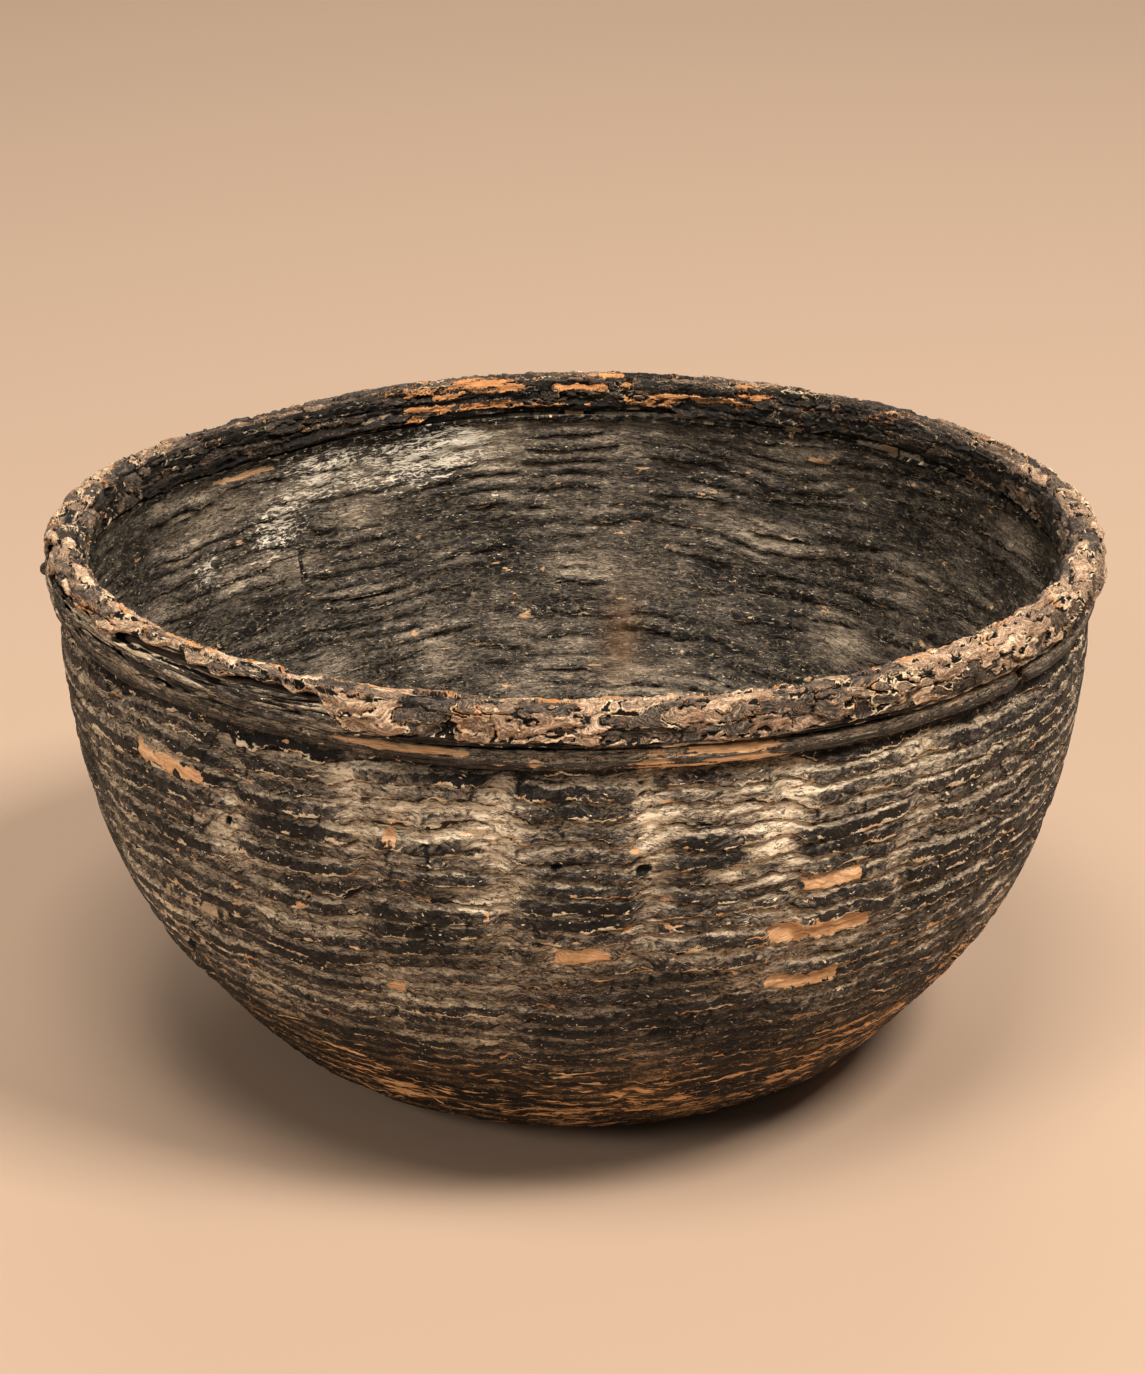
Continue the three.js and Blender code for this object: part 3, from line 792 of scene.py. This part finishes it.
class BOWL_OT_inner_weave(bpy.types.Operator):
    """Makes the inner face of the wall in rings, and the floor of the bowl"""
    bl_idname = "bowl.inner_weave"
    bl_label = "Inner weave"

    def execute(self, context):
        material = lacquered_cane("lacquered_cane_inside", "inner_coat", inside=True)
        bands, rows = 6, 38
        height = (LENGTH - FOOT) / bands
        for i in range(bands):
            low = FOOT + i * height
            columns = 920 if i > 1 else 640
            points, finish = wall_band(low, low + height, rows, columns, inside_fields, INNER_BAND_BACK)
            piece = add_surface(f"inner_weave_{i + 1}", points, finish, material)
            place_piece(piece, "inner_coat", "inner_wall")
        angle, along = np.meshgrid(
            np.linspace(0, TURN, 360, endpoint=False), np.linspace(1, FOOT + BAND_LAP, 48))
        depth, _, finish = inside_fields(angle, along)
        radius, height = on_wall(along, depth)
        under_radius, under_height = on_wall(along[::-24], INNER_BAND_BACK)
        angle, along = np.vstack([angle, angle[:2]]), np.vstack([along, along[:2]])
        points = turned(np.vstack([radius, under_radius]), angle, np.vstack([height, under_height]))
        finish = {key: np.vstack([value, value[:2]]) for key, value in finish.items()}
        finish["flow"] = wall_flow(angle, along)
        poles = [(0, 0, height[0].mean()), (0, 0, INNER_BAND_BACK)]
        floor = add_surface("inner_floor", points, finish, material, poles)
        place_piece(floor, "inner_coat", "inner_wall")
        return {"FINISHED"}


# The skin's face lies a little under the solid's, so that its lips don't rise far above it.
SKIN_SINK, SKIN_THICKNESS = 0.75, 1.3


def rim_section(share, start, end):
    """Radius and height on the skin's outer face, and the outward normal there.

    The section is a superellipse from the lip inside, over the crest, to the outside, with straight legs
    down from its two ends. Start and end are the lengths of the two legs, and the share runs between.
    """
    shoulder = CREST - 7.6
    crest_radius = OUTLINE[-1, 0] + 0.6
    angle = np.linspace(np.pi, 0, 400)
    reach = np.sign(np.cos(angle)) * np.abs(np.cos(angle)) ** 0.8
    width = np.where(np.cos(angle) < 0, crest_radius - RIM_INNER, RIM_OUTER - crest_radius)
    radius = crest_radius + reach * width
    height = shoulder + (CREST - shoulder) * np.sin(angle) ** 0.8
    along = np.concatenate([[0], np.cumsum(np.hypot(np.diff(radius), np.diff(height)))])
    place = -start + share * (start + along[-1] + end)
    r = np.interp(place, along, radius)
    z = np.interp(place, along, height) + np.minimum(place, 0) - np.maximum(place - along[-1], 0)
    tangent_r = np.interp(place, along, np.gradient(radius, along))
    tangent_z = np.interp(place, along, np.gradient(height, along))
    inside, outside = place < 0, place > along[-1]
    tangent_r = np.where(inside | outside, 0, tangent_r)
    tangent_z = np.where(inside, 1, np.where(outside, -1, tangent_z))
    size = np.hypot(tangent_r, tangent_z)
    return r, z, -tangent_z / size, tangent_r / size, place / along[-1]


def skin_fields(angle, share):
    """Radius, height and outward normal of the rim's skin, its relief over that, and its finish.

    Its two edges are ragged, and in the worn stretch the outer one draws back over the crest. Plates are
    cells, each raised by a random number and tilted by its offset from the cell's point, with a groove
    along its edge and a lip that curls up beside it. Smaller cells crack the plates, and a few cells of
    both sizes are lost. At the back the plates are longer and lower.
    """
    degrees, inner_degrees = signed_degrees(angle), signed_degrees(np.pi - angle)
    stake = angle / TURN * STAKES
    # The lip hangs down inside by 3 mm, or 5.6 mm where nothing undercuts it, and 3.2 mm outside.
    ragged = 0.9 * noise(stake, 5, 0 * stake, 61, 3)
    ragged += 0.5 * noise(stake, 22, 0 * stake, 62)
    worn = plateau(degrees, -86, -83, -27, -22)
    undercut = plateau(inner_degrees, -22, -17, 12, 16)
    undercut += plateau(inner_degrees, 33, 37, 55, 60)
    start = 3.0 + 2.6 * (1 - undercut) + 0.7 * ragged
    end = 3.2 + 0.8 * ragged - worn * (9.6 + 3.6 * noise(stake, 3, 0 * stake, 63, 3))
    r, z, normal_r, normal_z, over = rim_section(share, start, end)
    down = 33 * over
    wobble_x, wobble_y = (
        0.45 * noise(stake, 6, down / 7, seed, 3)
        + 0.1 * noise(stake, 24, down / 2, seed + 7) for seed in (64, 65))
    # Plates are 12.5 by 8 mm in front and 22 by 3.6 mm at the back, and small cells 4.4 by 3.6 mm.
    near = cells(stake * 3.5 + wobble_x, down / 8 + wobble_y, STAKES * 7 // 2, 66)
    far = cells(stake * 2 + wobble_x, down / 3.6 + wobble_y, STAKES * 2, 74)
    back = smoothstep(95, 130, np.abs(degrees))
    edge, dx, dy, tone, kind = (np.where(back + 0.3 * wobble_x > 0.5, b, a) for a, b in zip(near, far))
    small, _, _, small_tone, small_kind = cells(
        stake * 10 + wobble_x, down / 3.6 + wobble_y, STAKES * 10, 67)
    spin = tone * 9
    tilt, slant = np.cos(spin) * dx + np.sin(spin) * dy, np.cos(spin) * dy - np.sin(spin) * dx
    groove = 1 - smoothstep(0.03, 0.13, edge)
    curl = smoothstep(-0.3, 0.5, noise(stake, 4, down / 6, 73, 3))
    lip = curl * np.exp(-(((edge - 0.2) / 0.08) ** 2))
    lost = (kind > 0.95) * smoothstep(0.1, 0.2, edge)
    slate = (kind % 0.31) / 0.31 < 0.3
    small_groove = (1 - smoothstep(0.05, 0.28, small)) * (small_kind < 0.6) * ~slate
    fibre = noise(stake, 26, down / 1.2, 68)
    pit = (small_kind > 0.985) * smoothstep(0.2, 0.32, small)
    relief = 0.9 * (tone - 0.5) + 1.2 * tilt + 0.55 * lip - 0.9 * groove - 1.2 * lost
    relief += 0.35 * noise(stake, 8, down / 5, 69, 3) + 0.12 * fibre - 0.25 * small_groove
    relief += 0.22 * (small_tone - 0.5) - 0.9 * pit
    thin = plateau(share, 0, 0.03, 0.97, 1)
    relief = np.clip(relief, -1.6, 0.9) * thin - SKIN_SINK
    crest_edge = np.exp(-(((over - 0.38) / 0.05) ** 2)) * smoothstep(80, 50, np.abs(degrees))
    back_plates = plateau(inner_degrees, -28, -24, 24, 30)
    back_plates = back_plates * (over < 0.45) * (kind > 0.62) * smoothstep(0.04, 0.1, edge)
    bare = 0.78 * crest_edge + 0.95 * back_plates + 0.4 * noise(stake, 4, down / 3, 70, 3)
    bare += 0.3 * worn * smoothstep(0.6, 0.9, share) - 0.72
    # Painted shade: the inner side of the section and the plates at the back are darker, and their pale
    # curled edges are dimmed there.
    shade = 0.25 * (over < 0.3) + 0.22 * back
    tones = np.where(slate, 0.24 + 0.14 * tone, 0.42 + 0.34 * tone) + 0.12 * (small_tone - 0.5) - shade
    # The gap mark paints lost plates and pits dark, as grime and as the shadow in them.
    finish = {
        "tone": tones, "gap": np.clip(0.8 * lost + pit, 0, 1) * thin, "edge": edge, "bare": bare,
        "curl": curl - 1.2 * shade, "grain": np.stack([6 * tilt, 6 * slant, 40 * tone], -1),
        "flow": flow(angle, down)}
    return r, z, normal_r, normal_z, relief, finish


class BOWL_OT_rim_skin(bpy.types.Operator):
    """Makes the bark-like skin of the rim, torn off its outer side in the worn stretch"""
    bl_idname = "bowl.rim_skin"
    bl_label = "Rim skin"

    def execute(self, context):
        columns, rows = context.scene.bowl_sizes.rim_columns, 62
        angle = np.linspace(0, TURN, columns, endpoint=False)[None, :]
        angle, share = np.broadcast_arrays(angle, np.linspace(0, 1, rows)[:, None])
        r, z, normal_r, normal_z, relief, finish = skin_fields(angle, share)
        under = np.array([rows - 1, rows * 3 // 4, rows // 2, rows // 4, 0])
        back = np.full((len(under), columns), -SKIN_SINK - SKIN_THICKNESS)
        depth = np.vstack([relief, back])
        r, z, normal_r, normal_z, angle = (
            np.vstack([value, value[under]]) for value in (r, z, normal_r, normal_z, angle))
        finish = {key: np.concatenate([value, value[under]]) for key, value in finish.items()}
        points = turned(r + depth * normal_r, angle, z + depth * normal_z)
        piece = add_surface("rim_bark", points, finish, cracked_bark("cracked_bark"))
        place_piece(piece, "rim_bark", "rim_skin", "rim_skin_worn")
        return {"FINISHED"}


def strand_ring(radius, height, wide, tall, columns, sides, seed):
    """A cane laid round the rim, with its section, place and surface varied by noises.

    The section is an ellipse. Its half width and half height swell and thin round the bowl, and shrink
    to about a half in short broken stretches where the skin has come off. Flutes run along it.
    """
    angle = np.linspace(0, TURN, columns, endpoint=False)[None, :]
    turn = np.linspace(0, TURN, sides, endpoint=False)[:, None]
    angle, turn = np.broadcast_arrays(angle, turn)
    stake, degrees = angle / TURN * STAKES, signed_degrees(angle)
    worn = plateau(degrees, -88, -82, -30, -20)
    bend = noise(stake, 1, 0 * stake, seed, 3)
    rise = noise(stake, 1, 0 * stake + 9, seed + 1, 3)
    swell = 1 + 0.16 * noise(stake, 2, 0 * stake + 3, seed + 2, 3)
    broken = noise(stake, 1.5, 0 * stake, seed + 6)
    swell = swell - 0.6 * worn * smoothstep(0.32, 0.4, broken)
    round_place = (turn / TURN + 0.04 * bend) % 1
    crack = np.exp(-((lattice_noise(round_place * 12, stake * 1.2, 12, seed + 7) / 0.1) ** 2))
    ridge = 0.42 * lattice_noise(round_place * 16, stake * 1.5, 16, seed + 3) - 0.6 * crack
    ridge = ridge + 0.22 * noise(stake, 16, turn / TURN * 14, seed + 4)
    size = swell + (1 + 1.1 * worn) * ridge / tall
    r = radius + (0.4 + 0.3 * worn) * bend + wide * size * np.cos(turn)
    z = height + (0.4 + 0.5 * worn) * rise + tall * size * np.sin(turn)
    chips = 2.4 * (noise(stake, 6, turn * 1.6, seed + 5, 3) - 1.05)
    hidden = smoothstep(0.62, 0.95, np.abs(np.sin(turn)))
    # The upper side is painted lighter and the lower side darker, as light falling from above, with dust on
    # the ridges as well, and the top and bottom, where the cane tucks against its neighbours, are darkened
    # as painted shade.
    dust = 0.32 + 0.12 * worn + 0.14 * np.sin(turn) + 0.3 * ridge + 0.1 * rise
    finish = coat_finish(
        angle.shape, dust=dust, bare=chips, cream=7 * (ridge - 0.27), strength=0.5,
        soot=(0.6 + 0.5 * worn) * crack + 1.2 * hidden)
    finish["flow"] = flow(angle, height + tall * turn)
    return turned(r, angle, z), finish


class BOWL_OT_rim_strands(bpy.types.Operator):
    """Makes the outer canes under the rim's skin, and the flat hoop inside them"""
    bl_idname = "bowl.rim_strands"
    bl_label = "Rim strands"

    def execute(self, context):
        material = lacquered_cane("lacquered_strand", "outer_coat")
        for number, name in enumerate(STRANDS[2:]):
            pairs = corners(name)
            radius, height = pairs[:, 0].mean(), pairs[:, 1].mean()
            size = np.ptp(pairs[:, 0]) / 2
            points, finish = strand_ring(radius, height, size, size, 1080, 28, 81 + 10 * number)
            place_piece(add_surface(f"cane_{name[-1]}", points, finish, material), "coat", name)
        pairs = corners("rim_inner_hoop")
        radius, height = pairs.mean(0)
        points, finish = strand_ring(radius, height, 0.8, np.ptp(pairs[:, 1]) / 2, 900, 16, 151)
        place_piece(add_surface("inner_hoop", points, finish, material), "cane", "rim_inner_hoop")
        return {"FINISHED"}


class BOWL_OT_frayed_fibres(bpy.types.Operator):
    """Makes frayed fibres along the worn stretch: thin tubes that taper to a point at both ends"""
    bl_idname = "bowl.frayed_fibres"
    bl_label = "Frayed fibres"

    def execute(self, context):
        count = context.scene.bowl_sizes.fibres
        material = lacquered_cane("lacquered_strand", "outer_coat")
        # A fibre starts at a random place on the bulge of the strands and strays from it by a few mm.
        rng = np.random.default_rng(201)
        stations, sides = 12, 8
        first = np.radians(rng.uniform(-86, -22, (count, 1, 1)))
        length = rng.uniform(6, 28, (count, 1, 1))
        start_height = rng.uniform(163.8, 172.2, (count, 1, 1))
        drift = rng.uniform(-1.6, 1.6, (count, 1, 1))
        lift = rng.uniform(-0.4, 0.9, (count, 1, 1))
        thick = rng.uniform(0.35, 1.2, (count, 1, 1))
        share = np.linspace(0.02, 0.98, stations)[None, :, None]
        turn = np.linspace(0, TURN, sides, endpoint=False)[None, None, :]
        height = start_height + drift * share
        roll_middle, roll_half = 168.3, 6.2
        cheek = np.sqrt(np.clip(1 - ((height - roll_middle) / roll_half) ** 2, 0, 1))
        taper = np.sqrt(np.sin(np.pi * share))
        middle = RIM_OUTER - 3.9 + 2.2 * cheek + lift * share
        angle = first + share * length / RIM_OUTER + 0 * turn
        r = middle + 0.6 * thick * taper * np.cos(turn)
        z = height + thick * taper * np.sin(turn)
        points = turned(r, angle, z)
        poles = points[:, [0, -1]].mean(2)
        tone = rng.uniform(0.12, 0.5, (count, 1, 1))
        finish = {**coat_finish(angle.shape, dust=tone, bare=-0.6), "flow": flow(angle, z)}
        place_piece(add_surface("frayed_fibres", points, finish, material, poles), "coat")
        return {"FINISHED"}


class BOWL_OT_cane_stub(bpy.types.Operator):
    """Makes the end of a cane that sticks out at the left: a short tube that bulges near its blunt end"""
    bl_idname = "bowl.cane_stub"
    bl_label = "Cane stub"

    def execute(self, context):
        material = lacquered_cane("lacquered_strand", "outer_coat")
        share = np.linspace(0, 1, 16)[:, None]
        turn = np.linspace(0, TURN, 28, endpoint=False)[None, :]
        low_of_roll = min(corners(name)[:, 1].min() for name in STRANDS) - 1.2
        size = 2.2 * np.sqrt(np.clip(1 - np.maximum((share - 0.7) / 0.32, 0) ** 2, 0.02, 1))
        size = size * (1 + 0.08 * np.sin(3 * turn + 4 * share) + 0.05 * np.sin(7 * turn))
        angle = np.radians(-85) + size * np.cos(turn) / RIM_OUTER
        r = RIM_OUTER - 6.5 + 7.6 * share + 0 * turn
        z = low_of_roll + size * np.sin(turn)
        points = turned(r, angle, z)
        finish = {**coat_finish(r.shape, dust=0.25, bare=-0.9), "flow": flow(angle, z)}
        poles = [points[0].mean(0), points[-1].mean(0)]
        place_piece(add_surface("cane_stub", points, finish, material, poles), "coat")
        return {"FINISHED"}


class BOWL_OT_edge_cane(bpy.types.Operator):
    """Makes the flat strip under the roll: a rounded section swept round, with a point at each end"""
    bl_idname = "bowl.edge_cane"
    bl_label = "Edge cane"

    def execute(self, context):
        material = lacquered_cane("lacquered_strand", "outer_coat")
        low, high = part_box("rim_edge_cane")
        pairs = corners("rim_edge_cane")
        radius = (pairs[:, 0].max() + pairs[:, 0].min()) / 2 + 0.5
        height, wide, tall = (low.z + high.z) / 2 / MM, 2.0, (high.z - low.z) / 2 / MM
        joint = np.radians(53)
        angle = np.linspace(joint, joint + TURN - np.radians(1.2), 1200)[:, None]
        turn = np.linspace(0, TURN, 22, endpoint=False)[None, :]
        angle, turn = np.broadcast_arrays(angle, turn)
        stake, degrees = angle / TURN * STAKES, signed_degrees(angle)
        bend, rise = (noise(stake, 1, 0 * stake + k, 171, 3) for k in (0, 7))
        end = np.minimum(angle - angle[0, 0], angle[-1, 0] - angle)
        taper = np.sqrt(np.clip(end / np.radians(0.7), 0.02, 1))
        crack = np.exp(-((lattice_noise(stake * 1.2, turn / TURN * 12, STAKES * 2, 176) / 0.1) ** 2))
        ridge = 0.3 * noise(stake, 2, turn / TURN * 12, 172) - 0.5 * crack
        ridge = ridge + 0.16 * noise(stake, 18, turn / TURN * 9, 173)
        swell = taper * (1 + 0.12 * noise(stake, 2, 0 * stake, 174, 3))
        reach = np.sign(np.cos(turn)) * np.abs(np.cos(turn)) ** 0.8
        r = radius + 0.3 * bend + (wide * reach + ridge) * swell
        z = height + 0.5 * rise + (tall * np.sin(turn) + ridge) * swell
        worn = plateau(degrees, -27, -22, -11, -8)
        worn *= smoothstep(0.0, 0.4, np.sin(turn))
        worn += plateau(degrees, 3, 7, 18, 22)
        patchy = noise(stake, 4, turn * 1.5, 175, 3)
        # Its upper side is painted lighter and its lower side darker, as light falling from above.
        finish = coat_finish(
            angle.shape, dust=0.3 + 0.14 * np.sin(turn), bare=2.4 * (worn * 1.25 + 0.8 * patchy - 0.85),
            strength=0.5)
        finish["flow"] = flow(angle, height + tall * turn)
        points = turned(r, angle, z)
        poles = [points[0].mean(0), points[-1].mean(0)]
        piece = add_surface("edge_cane", points, finish, material, poles)
        place_piece(piece, "worn_cane", "rim_edge_cane")
        return {"FINISHED"}


class BOWL_OT_base(bpy.types.Operator):
    """Finishes the foot, the hub and the stakes that the frame already holds"""
    bl_idname = "bowl.base"
    bl_label = "Base and stakes"

    def execute(self, context):
        cane = dry_cane("dry_split_cane", "split_cane")
        dirty_cane = dry_cane("worn_foot_cane", "foot_cane")
        for name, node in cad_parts.items():
            is_cane = name.startswith("stake_") or name == "base_hub"
            if is_cane or name in ("foot_disc", *STRANDS[:2]):
                node.data.materials.clear()
                node.data.materials.append(cane if is_cane else dirty_cane)
        return {"FINISHED"}


class BOWL_OT_stage(bpy.types.Operator):
    """Makes the pale floor, the soft lights and the camera"""
    bl_idname = "bowl.stage"
    bl_label = "Stage"

    def execute(self, context):
        scene = context.scene
        mesh = bpy.data.meshes.new("floor")
        half = 6.0
        mesh.from_pydata(
            [(-half, -half, 0), (half, -half, 0), (half, half, 0), (-half, half, 0)], [], [(0, 1, 2, 3)])
        floor = bpy.data.objects.new("floor", mesh)
        scene.collection.objects.link(floor)
        # Painted board: pale and matt, so that it shows soft shadows and no reflection.
        material, tree, shader = new_material("painted_board")
        set_inputs(tree, shader, {"Base Color": colour_of("floor"), "Roughness": 0.9})
        mesh.materials.append(material)
        world = bpy.data.worlds.new("studio")
        world.use_nodes = True
        background = world.node_tree.nodes["Background"]
        set_inputs(world.node_tree, background, {"Color": colour_of("surround"), "Strength": 0.14})
        scene.world = world
        scene.view_settings.view_transform = "Standard"
        # Each lamp's name, its place in metres, its power in watts and the side of its square in metres.
        middle = Vector((0, 0, 0.08))
        for name, place, power, side in (
                ("key", (1.4, -1.0, 2.7), 114, 0.8), ("top", (-0.2, -1.0, 3.3), 84, 1.2),
                ("fill", (-2.2, -2.1, 1.8), 38, 1.0), ("back", (0.2, 2.8, 2.6), 54, 2.4)):
            lamp = bpy.data.lights.new(name, "AREA")
            lamp.energy, lamp.size, lamp.color = power, side, colour_of("lamp")[:3]
            light = bpy.data.objects.new(name, lamp)
            light.location = place
            light.rotation_euler = (middle - Vector(place)).to_track_quat("-Z", "Y").to_euler()
            scene.collection.objects.link(light)
        # The camera looks down at the point of the bowl in the middle of the photograph.
        lens = bpy.data.cameras.new("camera")
        lens.lens, lens.sensor_width, lens.sensor_height, lens.sensor_fit = 85, 36, 36, "AUTO"
        camera = bpy.data.objects.new("camera", lens)
        target = Vector((-0.00063, 0, CREST * MM - 0.0606))
        elevation, distance = np.radians(21.54), 1.0664
        camera.location = target + Vector((0, -np.cos(elevation), np.sin(elevation))) * distance
        camera.rotation_euler = (target - camera.location).to_track_quat("-Z", "Y").to_euler()
        scene.collection.objects.link(camera)
        scene.camera = camera
        return {"FINISHED"}


class BOWL_PT_panel(bpy.types.Panel):
    """Lists the steps that build the bowl, its sizes and its colours"""
    bl_idname = "BOWL_PT_panel"
    bl_label = "Woven bowl"
    bl_space_type = "VIEW_3D"
    bl_region_type = "UI"
    bl_category = "Bowl"

    def draw(self, context):
        for step in STEPS:
            self.layout.operator(step.bl_idname)
        for group in (context.scene.bowl_sizes, context.scene.bowl_colours):
            for key in type(group).__annotations__:
                self.layout.prop(group, key)


STEPS = (
    BOWL_OT_stage, BOWL_OT_outer_weave, BOWL_OT_inner_weave, BOWL_OT_rim_skin, BOWL_OT_rim_strands,
    BOWL_OT_edge_cane, BOWL_OT_frayed_fibres, BOWL_OT_cane_stub, BOWL_OT_base)
CLASSES = (BowlSizes, BowlColours, *STEPS, BOWL_PT_panel)


def register():
    """Registers the classes, and gives the scene its sizes and colours."""
    for item in CLASSES:
        bpy.utils.register_class(item)
    bpy.types.Scene.bowl_sizes = bpy.props.PointerProperty(type=BowlSizes)
    bpy.types.Scene.bowl_colours = bpy.props.PointerProperty(type=BowlColours)


def unregister():
    """Takes back what register did."""
    del bpy.types.Scene.bowl_sizes, bpy.types.Scene.bowl_colours
    for item in reversed(CLASSES):
        bpy.utils.unregister_class(item)


def main():
    """Builds the bowl step by step."""
    register()
    for step in STEPS:
        group, action = step.bl_idname.split(".")
        getattr(getattr(bpy.ops, group), action)()
    bpy.context.view_layer.update()

if __name__ == "__main__":
    main()
